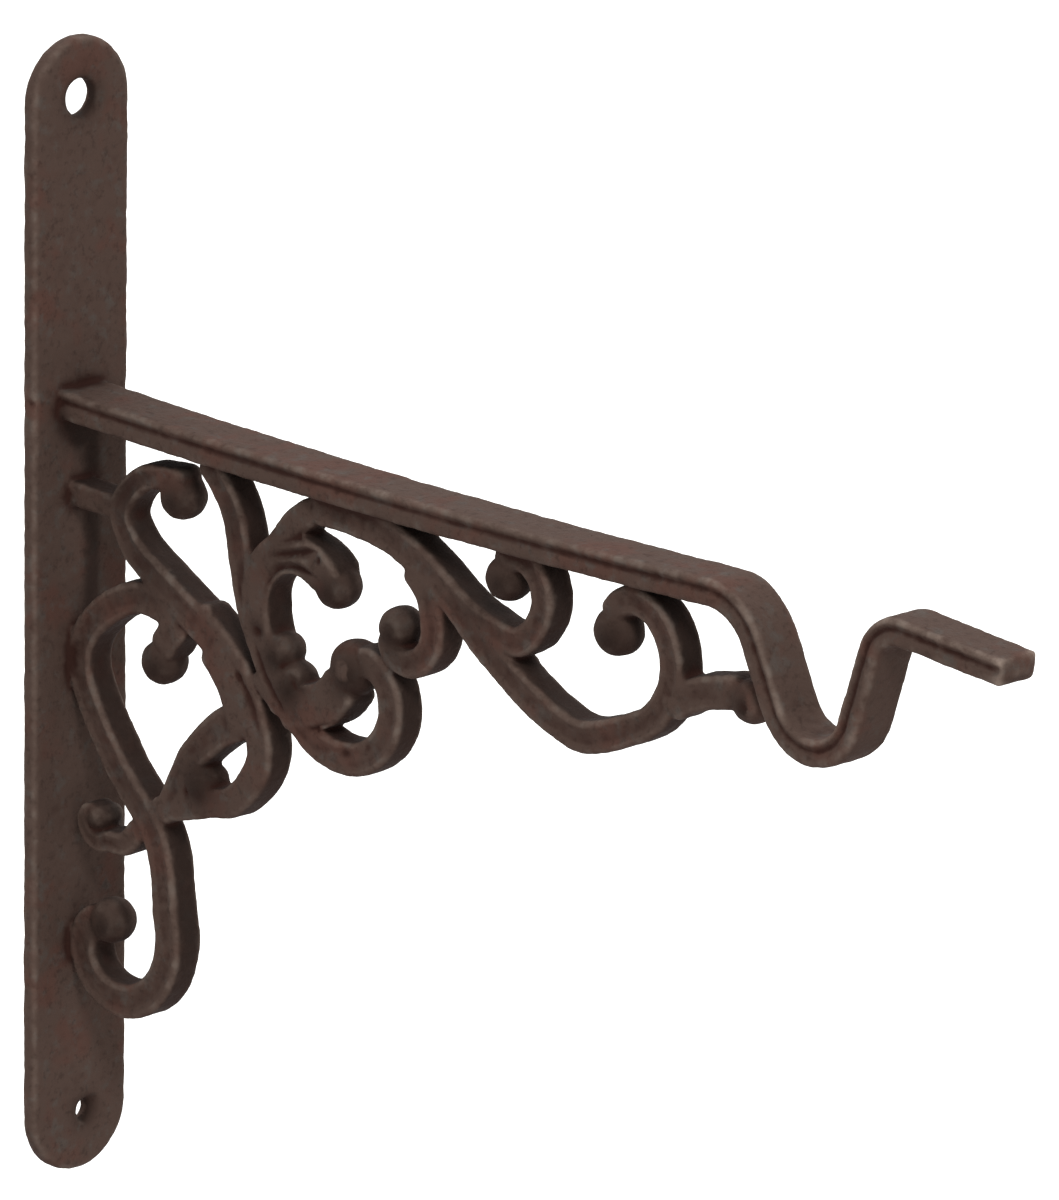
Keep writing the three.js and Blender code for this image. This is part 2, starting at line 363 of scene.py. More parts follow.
@dataclass(frozen=True)
class RustedCastIron:
    """Grey iron cast in sand and left to weather to a thin, even coat of brown rust.

    The sand leaves a fine pimpled skin, so it is matt from every side. The rust is a warm brown with redder
    patches and dark specks, rubbed to a pale grey along the edges. Shade is painted into the colour: nearly
    black in the hollows and on faces turned down, and dark on the scrolls' sides, the eyes' lower sides and
    the strip beside the scrolls.
    """

    name: str = "rusted_cast_iron"
    brown: str = "#40322c"
    red_rust: str = "#462e27"
    grey_rust: str = "#423d39"
    rubbed_grey: str = "#71635a"
    # Painted shade: nearly black in the hollows and on faces turned down.
    painted_shade_colour: str = "#24110c"
    # Dark specks, and painted shade on the scrolls' sides and eyes and on the strip beside them.
    dark_marks_and_painted_shade: str = "#1a100c"
    # Each grain has the size of its lumps and the number of finer layers on them, and every layer has
    # layer_strength of the one before. A span gives where on a grain a colour starts and where it is whole.
    patch_mm: float = 16.0
    patch_layers: float = 3.0
    red_span: tuple[float, float] = (0.5, 0.66)
    red_share: float = 0.65
    mottle_mm: float = 5.0
    mottle_layers: float = 4.0
    grey_span: tuple[float, float] = (0.52, 0.7)
    grey_share: float = 0.6
    rubbed_span: tuple[float, float] = (0.25, 0.7)
    speckle_mm: float = 1.8
    speckle_layers: float = 3.0
    speckle_span: tuple[float, float] = (0.5, 0.75)
    speckle_share: float = 0.38
    # Moulding sand is about 0.3 mm across. Its pimples are drawn at 0.9 mm, or they would not show.
    sand_mm: float = 0.9
    sand_layers: float = 2.0
    sand_height_mm: float = 0.2
    sand_strength: float = 0.9
    layer_strength: float = 0.6
    metallic: float = 0.08
    specular: float = 0.1
    dull: float = 0.9
    rubbed: float = 0.65
    # How much painted shade the faces turned down get.
    underside_shade_share: float = 0.65

    def material(self) -> bpy.types.Material:
        """Builds the material.

        Returns:
            The finished material.
        """
        made = bpy.data.materials.new(self.name)
        made.use_nodes = True
        tree = made.node_tree
        tree.nodes.clear()
        place = add_node(tree, "ShaderNodeTexCoord").outputs["Object"]
        patches = self.grain(tree, place, self.patch_mm, self.patch_layers)
        mottle = self.grain(tree, place, self.mottle_mm, self.mottle_layers)
        sand = self.grain(tree, place, self.sand_mm, self.sand_layers)
        specks = self.grain(tree, place, self.speckle_mm, self.speckle_layers)
        red = self.times(tree, self.between(tree, patches, self.red_span), self.red_share)
        grey = self.times(tree, self.between(tree, mottle, self.grey_span), self.grey_share)
        pitted = self.times(tree, self.between(tree, specks, self.speckle_span), self.speckle_share)
        worn = self.times(tree, self.paint(tree, Paint.EDGE), self.between(tree, mottle, self.rubbed_span))
        # Painted shade on the faces turned down.
        underside_shade = self.times(tree, self.paint(tree, Paint.SHADED_UNDERSIDE), self.underside_shade_share)
        colour = self.blend(tree, red, linear(self.brown), linear(self.red_rust))
        colour = self.blend(tree, grey, colour, linear(self.grey_rust))
        colour = self.blend(tree, pitted, colour, linear(self.dark_marks_and_painted_shade))
        # Painted shade on the scrolls' sides and eyes and on the strip beside them, with dark rims round the
        # strip's holes.
        colour = self.blend(tree, self.paint(tree, Paint.SHADE_AND_DARK_MARKS), colour, linear(self.dark_marks_and_painted_shade))
        colour = self.blend(tree, worn, colour, linear(self.rubbed_grey))
        # Painted shade: faces turned down, then hollows, darken to nearly black.
        colour = self.blend(tree, underside_shade, colour, linear(self.painted_shade_colour))
        colour = self.blend(tree, self.paint(tree, Paint.SHADED_HOLLOW), colour, linear(self.painted_shade_colour))
        roughness = add_node(
            tree, "ShaderNodeMapRange", None, {"Value": worn, "To Min": self.dull, "To Max": self.rubbed}
        ).outputs[0]
        bump = add_node(
            tree,
            "ShaderNodeBump",
            None,
            {"Height": sand, "Distance": self.sand_height_mm * MM, "Strength": self.sand_strength},
        )
        shader = add_node(
            tree,
            "ShaderNodeBsdfPrincipled",
            None,
            {
                "Base Color": colour,
                "Metallic": self.metallic,
                "Roughness": roughness,
                "Specular IOR Level": self.specular,
                "Normal": bump.outputs[0],
            },
        )
        add_node(tree, "ShaderNodeOutputMaterial", None, {"Surface": shader.outputs[0]})
        return made

    def grain(
        self, tree: bpy.types.NodeTree, place: bpy.types.NodeSocket, size_mm: float, layers: float
    ) -> bpy.types.NodeSocket:
        """Adds a noise whose lumps have a real size.

        Args:
            tree: the material's node tree.
            place: the coordinates in metres.
            size_mm: the size of one lump.
            layers: how many finer layers lie on it.

        Returns:
            The noise, from 0 to 1.
        """
        inputs = {
            "Vector": place,
            "Scale": 1 / (size_mm * MM),
            "Detail": layers,
            "Roughness": self.layer_strength,
        }
        return add_node(tree, "ShaderNodeTexNoise", None, inputs).outputs[0]

    @staticmethod
    def times(
        tree: bpy.types.NodeTree, one: bpy.types.NodeSocket, other: bpy.types.NodeSocket | float
    ) -> bpy.types.NodeSocket:
        """Multiplies two values."""
        return add_node(tree, "ShaderNodeMath", {"operation": "MULTIPLY"}, {0: one, 1: other}).outputs[0]

    @staticmethod
    def paint(tree: bpy.types.NodeTree, layer: Paint) -> bpy.types.NodeSocket:
        """Reads one of the skin's own values."""
        return add_node(tree, "ShaderNodeAttribute", {"attribute_name": layer.value}).outputs["Fac"]

    @staticmethod
    def between(
        tree: bpy.types.NodeTree, value: bpy.types.NodeSocket, span: tuple[float, float]
    ) -> bpy.types.NodeSocket:
        """Stretches a value so that it runs from 0 at the start of a span to 1 at its end."""
        inputs = {"Value": value, "From Min": span[0], "From Max": span[1]}
        return add_node(tree, "ShaderNodeMapRange", {"interpolation_type": "SMOOTHSTEP"}, inputs).outputs[0]

    @staticmethod
    def blend(
        tree: bpy.types.NodeTree,
        share: bpy.types.NodeSocket,
        under: bpy.types.NodeSocket | tuple[float, float, float, float],
        over: tuple[float, float, float, float],
    ) -> bpy.types.NodeSocket:
        """Lays one colour over another by a share.

        Args:
            tree: the material's node tree.
            share: how much of the upper colour shows.
            under: the lower colour.
            over: the upper colour.

        Returns:
            The mixed colour.
        """
        inputs = {MIX_SHARE: share, MIX_UNDER: under, MIX_OVER: over}
        return add_node(tree, "ShaderNodeMix", {"data_type": "RGBA"}, inputs).outputs[MIX_RESULT]


@dataclass(frozen=True)
class MattPaper:
    """Pale backdrop paper, which throws light back evenly and has no gloss."""

    name: str = "matt_backdrop_paper"
    colour: str = "#e6e5e3"
    roughness: float = 0.95

    def material(self) -> bpy.types.Material:
        """Builds the material.

        Returns:
            The finished material.
        """
        made = bpy.data.materials.new(self.name)
        made.use_nodes = True
        tree = made.node_tree
        tree.nodes.clear()
        inputs = {"Base Color": linear(self.colour), "Roughness": self.roughness}
        shader = add_node(tree, "ShaderNodeBsdfPrincipled", None, inputs)
        add_node(tree, "ShaderNodeOutputMaterial", None, {"Surface": shader.outputs[0]})
        return made


# The bracket's sub-parts


@dataclass
class WallStrip:
    """The flat strip that lies on the wall, with round ends and two screw holes."""

    height: float
    width: float
    thickness: float = 4.5
    edge: float = 1.2
    hole_inset: float = 15.0
    top_hole: float = 9.4
    bottom_hole: float = 5.6
    bottom_hole_shift: float = 1.4
    bottom_hole_slant_deg: float = 14.0
    hole_rim: float = 1.0
    end_steps: int = 24
    edge_steps: int = 4
    hole_sides: int = 32

    def outline(self, inset: float, out: float) -> np.ndarray:
        """Draws the strip's outline.

        Args:
            inset: how far the outline is drawn in.
            out: its distance from the wall.

        Returns:
            The outline's points.
        """
        radius = self.width / 2 - inset
        straight = (self.height - self.width) / 2
        turn = np.linspace(0, math.pi, self.end_steps)
        top = np.stack([np.cos(turn) * radius, straight + np.sin(turn) * radius], axis=1)
        ring = np.vstack([top, -top])
        return np.column_stack([np.full(len(ring), out), ring])

    def plate(self) -> Shell:
        """Makes the plate with rounded edges.

        Returns:
            The closed shell.
        """
        turn = np.linspace(0, math.pi / 2, self.edge_steps)
        insets = self.edge * (1 - np.sin(turn))
        outs = self.edge * (1 - np.cos(turn))
        back = [self.outline(inset, out) for inset, out in zip(insets, outs)]
        front = [self.outline(inset, self.thickness - out) for inset, out in zip(insets[::-1], outs[::-1])]
        return stacked(np.array(back + front))

    def hole(self, diameter: float, height: float, shift: float, slant_deg: float) -> Shell:
        """Makes the cutter of one screw hole, which flares at both faces.

        Args:
            diameter: the hole's own diameter.
            height: its centre above the middle of the strip.
            shift: its centre to the side of the strip's middle.
            slant_deg: how far it leans sideways.

        Returns:
            The closed shell.
        """
        radius = diameter / 2
        half = self.thickness / 2
        beyond = 1.0
        wide = radius + self.hole_rim + beyond
        rim = half - self.hole_rim
        profile = [(wide, -half - beyond), (radius, -rim), (radius, rim), (wide, half + beyond)]
        cutter = turned(profile, self.hole_sides)
        place = Matrix.Translation((half, shift, height))
        lean = Matrix.Rotation(math.radians(slant_deg - 90), 4, "Z")
        return cutter.moved(place @ lean)

    def build(self) -> bpy.types.Object:
        """Cuts the holes in the plate.

        Returns:
            The strip as an object.
        """
        strip = mesh_object("wall_strip", [self.plate()])
        height = self.height / 2 - self.hole_inset
        cutters = mesh_object(
            "hole_cutters",
            [
                self.hole(self.top_hole, height, 0, 0),
                self.hole(self.bottom_hole, -height, self.bottom_hole_shift, self.bottom_hole_slant_deg),
            ],
        )
        cut = strip.modifiers.new("holes", "BOOLEAN")
        cut.object = cutters
        settled(strip)
        bpy.data.objects.remove(cutters)
        return strip


@dataclass
class ArmAndHook:
    """The flat bar that reaches out from the strip, dips into a hook and ends level.

    It starts at its root inside the strip. Past the shoulder it falls into the dip at fall_deg, climbs out to
    the heel at climb_deg, and ends in a stub. The three radii are those of shoulder, dip and heel.
    """

    root: float
    underside: float = 50.7
    thickness: float = 7.2
    hook_thickness: float = 6.4
    width: float = 15.4
    hook_width: float = 12.4
    edge: float = 1.2
    sag: float = 1.9
    rise: float = 0.5
    hook_start: float = 232.4
    hook_span: float = 42.9
    hook_rise: float = 4.1
    fall_deg: float = 64.2
    climb_deg: float = 73.0
    radii: tuple[float, float, float] = (14.8, 12.6, 9.1)
    stub_length: float = 39.3
    end_radius: float = 0.4
    stub_droop_deg: float = 4.7
    groove_inset: float = 2.5
    groove_width: float = 1.8
    groove_depth: float = 0.75
    line_step: float = 1.5
    groove_step: float = 0.6
    bend_steps: int = 16

    def line(self) -> np.ndarray:
        """Draws the centre line: straight runs with rounded corners, and the arm's slight sag.

        Returns:
            The line's points.
        """
        height = self.underside + self.thickness / 2
        shoulder = np.array([self.hook_start, height + self.rise])
        heel = shoulder + np.array([self.hook_span, self.hook_rise])
        fall, climb = (math.tan(math.radians(angle)) for angle in (self.fall_deg, self.climb_deg))
        dip_x = (fall * shoulder[0] + climb * heel[0] - self.hook_rise) / (fall + climb)
        dip = np.array([dip_x, shoulder[1] - fall * (dip_x - shoulder[0])])
        droop = math.radians(self.stub_droop_deg)
        end = heel + self.stub_length * np.array([math.cos(droop), -math.sin(droop)])
        corners = [np.array([self.root, height]), shoulder, dip, heel, end]
        drawn = [corners[0]]
        for before, corner, after, radius in zip(corners, corners[1:], corners[2:], self.radii):
            drawn.extend(self.rounded(before, corner, after, radius))
        drawn.append(end)
        line = even_steps(np.array(drawn), self.line_step)
        bend_start = drawn[1][0]
        share = np.clip((line[:, 0] - self.root) / (bend_start - self.root), 0, 1)
        # The factor 4 makes the curve's lowest point exactly one sag deep.
        line[:, 1] -= self.sag * 4 * share * (1 - share)
        return line

    def rounded(
        self, before: np.ndarray, corner: np.ndarray, after: np.ndarray, radius: float
    ) -> list[np.ndarray]:
        """Rounds one corner of a line.

        Args:
            before: the point before the corner.
            corner: the corner.
            after: the point after it.
            radius: the radius of the bend.

        Returns:
            Points along the arc that takes the corner's place.
        """
        back = (before - corner) / np.linalg.norm(before - corner)
        ahead = (after - corner) / np.linalg.norm(after - corner)
        half = math.acos(float(back @ ahead)) / 2
        middle = (back + ahead) / np.linalg.norm(back + ahead)
        centre = corner + middle * radius / math.sin(half)
        start = corner + back * radius / math.tan(half) - centre
        side = math.copysign(1, back[0] * ahead[1] - back[1] * ahead[0])
        sweep = -side * (math.pi - 2 * half)
        points = []
        for angle in np.linspace(0, sweep, self.bend_steps):
            turn = np.array([[math.cos(angle), -math.sin(angle)], [math.sin(angle), math.cos(angle)]])
            points.append(centre + turn @ start)
        return points

    def groove(self) -> Groove:
        """Draws the groove that runs along both sides of the bar, just under its upper edge.

        Returns:
            The groove.
        """
        line = even_steps(self.line(), self.groove_step)
        along = np.gradient(line, axis=0)
        along /= np.linalg.norm(along, axis=1)[:, None]
        up = np.stack([-along[:, 1], along[:, 0]], axis=1)
        half = np.linspace(self.thickness, self.hook_thickness, len(line)) / 2
        lifted = line + up * (half - self.groove_inset)[:, None]
        widths = np.full(len(line), self.groove_width / 2)
        return Groove(lifted, widths, np.full(len(line), self.groove_depth), Cut.VEIN)

    def build(self) -> bpy.types.Object:
        """Makes the bar.

        Returns:
            The bar as an object.
        """
        shell = bar(
            self.line(),
            (self.thickness, self.hook_thickness),
            (self.width, self.hook_width),
            self.edge,
            self.end_radius,
        )
        return mesh_object("arm_and_hook", [shell])


@dataclass(frozen=True)
class Eye:
    """One round eye: its place in hundredths of the scrollwork, its radius as a share of the usual one."""

    out: float
    down: float
    size: float


@dataclass(frozen=True)
class Scroll:
    """One scroll: its line in hundredths of the scrollwork, its widths, and the eye that it winds into.

    The widths are shares of the usual one, at the start and the end. The scroll winds round its eye by
    turn_deg degrees, and a larger ease keeps it wide of the eye for longer.
    """

    through: tuple[tuple[float, float], ...]
    widths: tuple[float, float]
    leaf: bool = False
    face: Face = Face.CHANNEL
    run: Run = Run.PLAIN
    eye: str = ""
    turn_deg: float = 0.0
    ease: float = 1.0


EYES = {
    "corner": Eye(15.9, 8.8, 1.0),
    "small": Eye(64.5, 5.9, 1.0),
    "ball": Eye(80.3, 9.1, 1.06),
    "middle": Eye(48.9, 19.3, 0.88),
    "lobe": Eye(42.4, 28.2, 1.2),
    "drop": Eye(13.2, 37.5, 1.0),
    "ring": Eye(19.8, 55.6, 0.88),
    "low": Eye(3.9, 67.3, 0.57),
    "loop": Eye(5.3, 84.8, 1.0),
    "tail": Eye(99.4, 13.8, 0.95),
    "leaf_tip": Eye(39.5, 15.8, 1.0),
    "upper_leaflet": Eye(31.6, 29.2, 0.8),
    "lower_leaflet": Eye(33.5, 33.8, 0.89),
}

SCROLLS = (
    Scroll(((23.3, 31.5), (13.8, 23.4), (9.4, 19), (7.6, 13.8), (10.8, 7.3), (17.5, 5.4)), (1.2, 0.7)),
    Scroll(((-1, 13), (8, 13.3)), (0.75, 0.75), face=Face.SMOOTH),
    Scroll(((29.5, 30), (27.4, 23.3), (26.1, 15.4), (25.1, 8.8), (23.1, 4.1), (20.1, 0)), (1.0, 0.875)),
    Scroll(
        ((33.3, 39.5), (28.9, 25), (28.9, 18), (31.6, 13.1), (35.5, 11.9), (38.9, 14.2), (39.6, 16)),
        (1.06, 1.31),
        leaf=True,
        face=Face.SMOOTH,
    ),
    Scroll(((30.2, 15), (34, 7.3), (37.6, 3)), (0.95, 0.875), face=Face.SMOOTH),
    Scroll(
        ((36.3, 2.7), (47.6, 4), (55.9, 9.7), (63.7, 18.8), (72.4, 26), (76.8, 27.3), (84.3, 23)),
        (1.15, 0.85),
        run=Run.WOUND,
        eye="ball",
        turn_deg=160,
        ease=2.0,
    ),
    Scroll(((88.4, 18.3), (92.2, 15), (98.6, 12.3)), (1.02, 0.98)),
    Scroll(
        ((57.2, 10.3), (60.2, 13.1), (66.9, 15.4)),
        (0.9, 0.88),
        run=Run.WOUND,
        eye="small",
        turn_deg=156,
        ease=2.6,
    ),
    Scroll(
        ((29.4, 32), (31.1, 35.4), (34.9, 39)),
        (1.12, 0.925),
        run=Run.WOUND,
        eye="lobe",
        turn_deg=176,
        ease=2.3,
    ),
    Scroll(((32, 38), (35.9, 37), (39.3, 35), (42.1, 30)), (1.38, 1.38), leaf=True, face=Face.SMOOTH),
    Scroll(
        ((51.1, 7.5), (54.2, 12.6), (54.9, 18)),
        (1.0, 0.8),
        run=Run.WOUND,
        eye="middle",
        turn_deg=-142,
        ease=1.2,
    ),
    Scroll(
        ((18.9, 26.8), (26.4, 36.1), (29.2, 48.1), (25.1, 56.7), (21.8, 58.3), (12.6, 62.7)),
        (1.32, 0.75),
        face=Face.SMOOTH,
    ),
    Scroll(((21.1, 31), (24.9, 37), (27, 46)), (1.12, 1.12), leaf=True, face=Face.SMOOTH),
    Scroll(((13.6, 64), (15.3, 60.5), (19.1, 50.9), (24, 44.4), (26.8, 42.4)), (0.75, 1.25)),
    Scroll(
        ((17.2, 28.5), (9.8, 27.6), (2.7, 35.1), (1.4, 42.1), (6.5, 55.9), (13.4, 67.6), (15, 80.8)),
        (0.98, 1.1),
        run=Run.WOUND,
        eye="loop",
        turn_deg=-192,
        ease=2.4,
    ),
    Scroll(
        ((11.1, 65.6), (8.5, 70), (5.6, 70.7)),
        (0.8, 0.5),
        run=Run.WOUND,
        eye="low",
        turn_deg=-200,
        ease=1.5,
    ),
    Scroll(((17.4, 28.8), (15.3, 32.1), (13.5, 36.1)), (1.0, 1.0)),
)


@dataclass(frozen=True)
class Vein:
    """One groove in a leaf: its line in hundredths of the scrollwork, its share of the usual depth."""

    through: tuple[tuple[float, float], ...]
    strength: float


VEINS = (
    Vein(((30.2, 21), (32, 15.5), (36, 12.6)), 1.0),
    Vein(((32.5, 10.6), (35.6, 8.5), (38.3, 6.7)), 0.8),
    Vein(((31.2, 13.2), (35, 11.4), (38.9, 9.6)), 1.0),
    Vein(((31.8, 16.8), (34.5, 14), (38.2, 14.2)), 1.0),
    Vein(((28.5, 27), (30.8, 34), (34.5, 40)), 0.6),
    Vein(((25.5, 33), (28.2, 38.5), (30, 45)), 0.4),
    Vein(((36.4, 40.3), (39.6, 39.1), (42.2, 37.8)), 0.9),
    Vein(((31.5, 24.5), (33.5, 27.5), (36.5, 29)), 0.6),
)


@dataclass(frozen=True)
class Dent:
    """One dent left by the mould: its place in hundredths of the scrollwork, radius and depth in millimetres.

    A depth below zero is a bump.
    """

    out: float
    down: float
    radius: float
    depth: float


@dataclass(frozen=True)
class ShadeSpot:
    """One spot of painted shade: its place in hundredths of the scrollwork, its radius in millimetres, its
    strength.
    """

    out: float
    down: float
    radius: float
    strength: float


# Spots of painted shade on the scrolls.
SHADE_SPOTS = (
    ShadeSpot(8.5, 9, 9, 0.7),
    ShadeSpot(12, 21, 10, 0.5),
    ShadeSpot(34, 14.5, 9, 0.45),
    ShadeSpot(41.5, 16.5, 5, 0.5),
    ShadeSpot(20.5, 55, 7, 0.8),
    ShadeSpot(26, 9, 8, 0.5),
    ShadeSpot(81.5, 10.5, 6, 0.5),
    ShadeSpot(50.5, 21, 5, 0.5),
    ShadeSpot(64.5, 8, 5, 0.5),
    ShadeSpot(7, 61, 9, 0.3),
    ShadeSpot(29.3, 25.8, 3, 0.6),
    ShadeSpot(33.3, 26, 2.5, 0.5),
    ShadeSpot(36.4, 28.5, 3, 0.6),
    ShadeSpot(35.1, 32.5, 5, 0.7),
    ShadeSpot(61.5, 12, 8, 0.35),
    ShadeSpot(-1, 3, 6, 0.5),
)

DENTS = (
    Dent(38.3, 11.5, 1.3, 0.9),
    Dent(42.4, 12.6, 2.4, 0.6),
    Dent(29.4, 26.3, 1.5, 1.0),
    Dent(35.2, 32.6, 3.4, 1.1),
    Dent(26.3, 35.1, 1.4, 0.8),
    Dent(42.4, 41.6, 1.9, 0.7),
    Dent(45.5, 39.5, 1.6, 0.6),
    Dent(82.4, 8.0, 2.4, 0.7),
    Dent(23.2, 53.2, 1.5, 0.9),
    Dent(88.7, 17.3, 1.2, -0.5),
    Dent(66.9, 18.8, 1.5, -0.5),
    Dent(99.7, 14.2, 1.5, 0.6),
)


@dataclass
class Scrollwork:
    """The openwork scrolls that brace the corner between the strip and the arm.

    They start at the strip's front, and their top is the arm's underside.
    """

    start: float
    top: float
    reach: float = 230.0
    drop: float = 150.0
    width: float = 8.0
    depth: float = 8.4
    leaf_depth: float = 9.4
    edge: float = 1.1
    end_radius: float = 3.5
    line_step: float = 1.0
    winding_steps: int = 48
    eye_radius: float = 5.6
    eye_proud: float = 0.9
    # An eye's profile stops just short of its poles, and a power under 1 makes it fuller than a ball.
    eye_sweep: float = 0.47
    eye_fullness: float = 0.6
    eye_rings: int = 15
    eye_sides: int = 32
    vein_width: float = 2.3
    vein_depth: float = 1.3
    vein_step: float = 0.5
    vein_end: float = 0.1
    vein_taper: float = 0.7
    channel_depth: float = 0.45
    channel_fade: float = 12.0
    # In radii of an eye: where the channels start beside it, and over how far they deepen.
    channel_start: float = 1.05
    channel_rise: float = 0.6
    # The painted shade on the scrolls' sides ends where the skin has turned this far to the face.
    side_shade: float = 0.9
    side_turn: float = 0.6
    # Painted shade on the lower side of each eye, and the shift of its middle in radii.
    eye_shade: float = 0.88
    eye_shade_shift: tuple[float, float] = (0.25, -0.3)
    # Where the scrollwork's painted shade may lie: past the strip, below the arm and near the scrolls' plane.
    shade_from_strip: float = 1.0
    shade_from_arm: float = 0.3
    shade_past_leaf: float = 0.6
    eyes: dict[str, Eye] = field(default_factory=lambda: dict(EYES))
    scrolls: tuple[Scroll, ...] = SCROLLS
    veins: tuple[Vein, ...] = VEINS
    dents: tuple[Dent, ...] = DENTS
    # The spots of painted shade.
    shade_spots: tuple[ShadeSpot, ...] = SHADE_SPOTS

    def at(self, out: float, down: float) -> np.ndarray:
        """Turns a place in hundredths of the scrollwork's reach and drop into millimetres."""
        return np.array([self.start + out / 100 * self.reach, self.top - down / 100 * self.drop])

    def line(self, scroll: Scroll) -> np.ndarray:
        """Draws a scroll's centre line, with its winding end if it has one.

        Args:
            scroll: the scroll.

        Returns:
            The line's points in even steps.
        """
        points = np.array([self.at(*pair) for pair in scroll.through])
        if scroll.run is Run.PLAIN:
            return even_steps(smooth_line(points), self.line_step)
        eye = self.eyes[scroll.eye]
        centre = self.at(eye.out, eye.down)
        away = points[-1] - centre
        first_reach = np.linalg.norm(away)
        last_reach = eye.size * self.eye_radius - scroll.widths[1] * self.width / 2
        share = np.linspace(0, 1, self.winding_steps)[1:]
        reach = first_reach + (last_reach - first_reach) * share**scroll.ease
        angles = math.atan2(away[1], away[0]) + share * math.radians(scroll.turn_deg)
        winding = centre + np.stack([np.cos(angles), np.sin(angles)], axis=1) * reach[:, None]
        lead = smooth_line(np.vstack([points, winding[1]]))
        return even_steps(np.vstack([lead, winding[2:]]), self.line_step)

    def eye_shell(self, eye: Eye) -> Shell:
        """Makes one eye, nearly a ball, that stands a little proud of the scrolls' faces.

        Args:
            eye: the eye.

        Returns:
            The closed shell.
        """
        radius = eye.size * self.eye_radius
        half = self.depth / 2 + self.eye_proud * eye.size
        turn = np.linspace(-self.eye_sweep, self.eye_sweep, self.eye_rings) * math.pi
        profile = [(radius * math.cos(angle) ** self.eye_fullness, half * math.sin(angle)) for angle in turn]
        x, z = self.at(eye.out, eye.down)
        return turned(profile, self.eye_sides).moved(Matrix.Translation((x, 0, z)))

    def build(self) -> bpy.types.Object:
        """Makes all the scrolls and eyes.

        Returns:
            The scrollwork as one object.
        """
        shells = []
        for scroll in self.scrolls:
            widths = tuple(share * self.width for share in scroll.widths)
            depth = self.leaf_depth if scroll.leaf else self.depth
            shells.append(bar(self.line(scroll), widths, (depth, depth), self.edge, self.end_radius))
        shells.extend(self.eye_shell(eye) for eye in self.eyes.values())
        return mesh_object("scrollwork", shells)

    def grooves(self) -> list[Groove]:
        """Draws the veins of the leaves and the shallow channel between the rims of each scroll.

        Returns:
            The grooves.
        """
        cuts = []
        for vein in self.veins:
            points = np.array([self.at(*pair) for pair in vein.through])
            line = even_steps(smooth_line(points), self.vein_step)
            turn = np.linspace(self.vein_end, math.pi - self.vein_end, len(line))
            taper = np.sin(turn) ** self.vein_taper
            depths = taper * self.vein_depth * vein.strength
            cuts.append(Groove(line, taper * self.vein_width / 2, depths, Cut.VEIN))
        for scroll in self.scrolls:
            if scroll.face is Face.SMOOTH:
                continue
            line = self.line(scroll)
            half = np.linspace(*scroll.widths, len(line)) * self.width / 2
            steps = np.arange(len(line))
            fade = np.clip(np.minimum(steps, steps[::-1]) / self.channel_fade, 0, 1)
            cuts.append(Groove(line, half, fade * self.channel_depth, Cut.CHANNEL))
        return cuts

    def dark_marks_and_painted_shade(self, points: np.ndarray, normals: np.ndarray) -> np.ndarray:
        """Works out the shade painted on the scrolls: on their sides, on the lower side of each eye and in
        the spots.

        Args:
            points: the skin's points.
            normals: its outward directions.

        Returns:
            Shares from 0 to 1.
        """
        flat = points[:, [0, 2]]
        out, side, up = points.T
        on_scrolls = (out > self.start + self.shade_from_strip) & (out < self.start + self.reach)
        on_scrolls &= up < self.top - self.shade_from_arm
        on_scrolls &= np.abs(side) < self.leaf_depth / 2 + self.shade_past_leaf
        # Painted shade on the scrolls' sides, where the skin turns away from the two faces.
        dark_marks_and_painted_shade = self.side_shade * np.clip(1 - np.abs(normals[:, 1]) / self.side_turn, 0, 1)
        # Painted shade on the lower side of each eye.
        for eye in self.eyes.values():
            radius = eye.size * self.eye_radius
            lower = self.at(eye.out, eye.down) + radius * np.array(self.eye_shade_shift)
            away = np.hypot(*(flat - lower).T) / radius
            dark_marks_and_painted_shade = np.maximum(dark_marks_and_painted_shade, self.eye_shade * np.exp(-(away**2)))
        # Spots of painted shade.
        for shade_spot in self.shade_spots:
            away = np.hypot(*(flat - self.at(shade_spot.out, shade_spot.down)).T) / shade_spot.radius
            dark_marks_and_painted_shade = np.maximum(dark_marks_and_painted_shade, shade_spot.strength * np.exp(-(away**2)))
        return dark_marks_and_painted_shade * on_scrolls


# The casting as one piece


